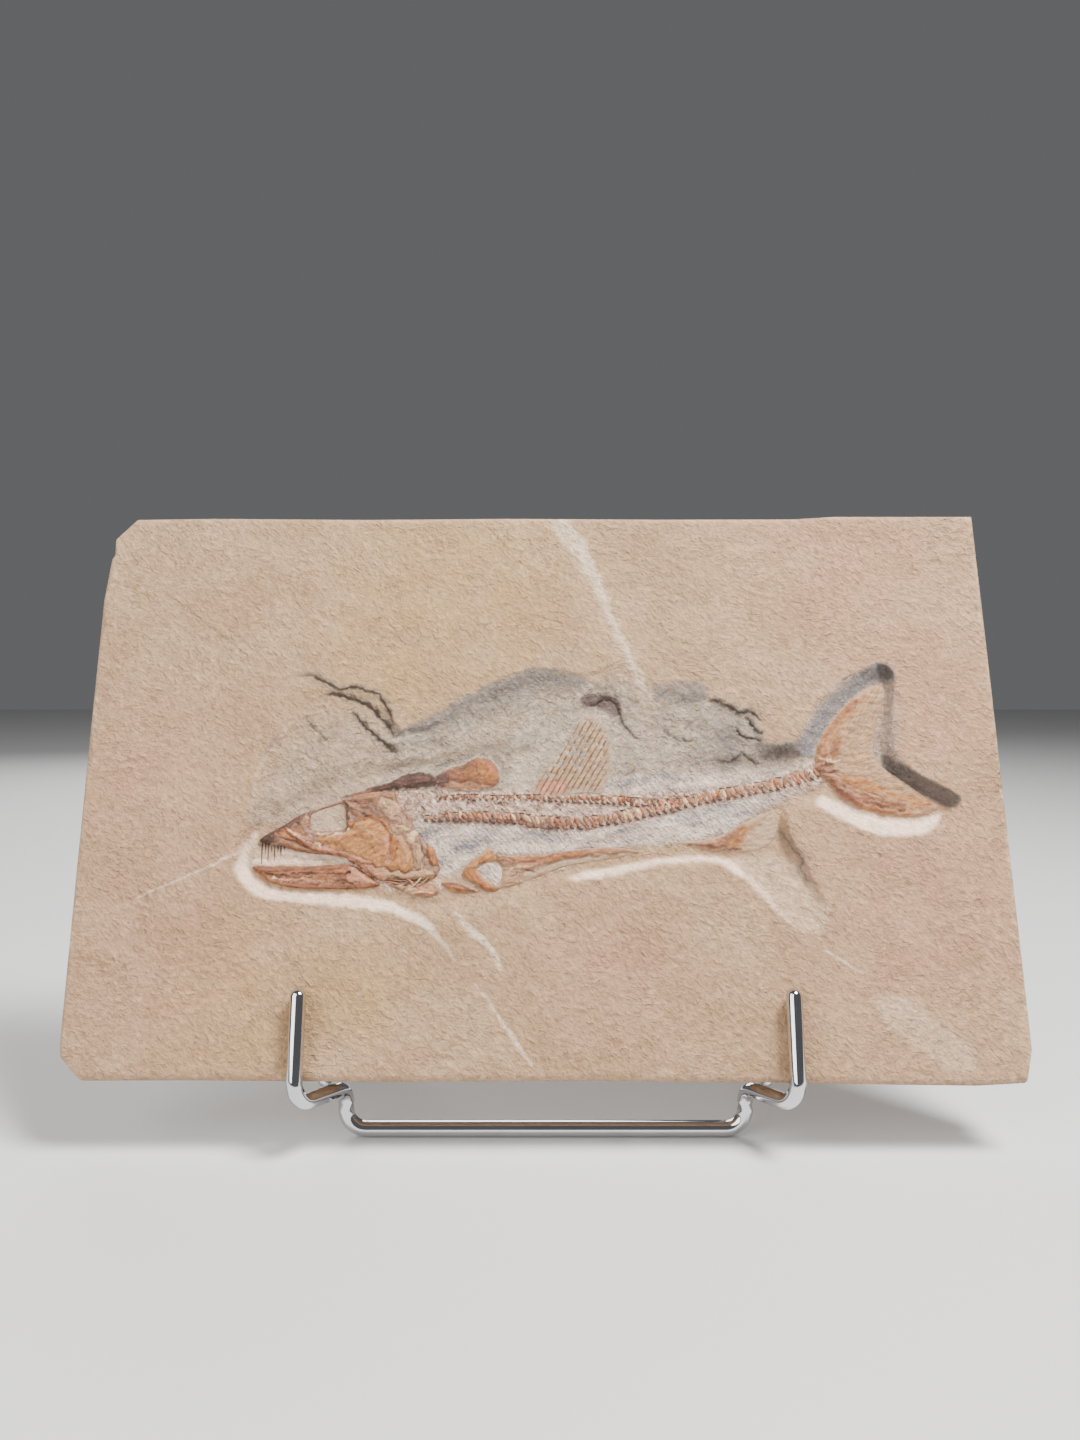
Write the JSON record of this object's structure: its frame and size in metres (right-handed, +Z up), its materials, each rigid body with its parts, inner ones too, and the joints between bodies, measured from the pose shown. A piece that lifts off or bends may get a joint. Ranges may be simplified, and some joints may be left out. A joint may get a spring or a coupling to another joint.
{
  "type": "fossil fish slab on wire display stand",
  "caption": "Fossil fish lying in a quarried hollow of a thin limestone slab, which leans back on a chromed wire display stand.",
  "frame": {"origin": "on the table, under the middle of the whole object's bounding box", "axes": "+X along the slab from the fish's snout to its tail, +Y from the front of the stand to the back, +Z up"},
  "size_m": [0.2854, 0.1036, 0.1918],
  "materials": {
    "limestone": "matt, fine grained, pale beige with pinkish and ochre clouds",
    "fossil_bone": "satin orange-brown mineralised bone",
    "dark_fossil_bone": "satin purple-brown mineralised bone",
    "chromed_wire": "polished chrome plate on steel wire"
  },
  "bodies": {
    "root": {"slab": "limestone", "skull": "fossil_bone", "lower_jaw": "fossil_bone", "gill_rays": "fossil_bone", "shoulder_bone": "fossil_bone", "back_scute": "fossil_bone", "pelvic_fin": "fossil_bone", "anal_fin": "fossil_bone", "backbone": "fossil_bone", "scute_row": "fossil_bone", "dorsal_fin": "fossil_bone", "tail_fin": "fossil_bone", "nape_scute": "dark_fossil_bone", "front_wire": "chromed_wire", "back_wire": "chromed_wire"}
  },
  "joints": []
}
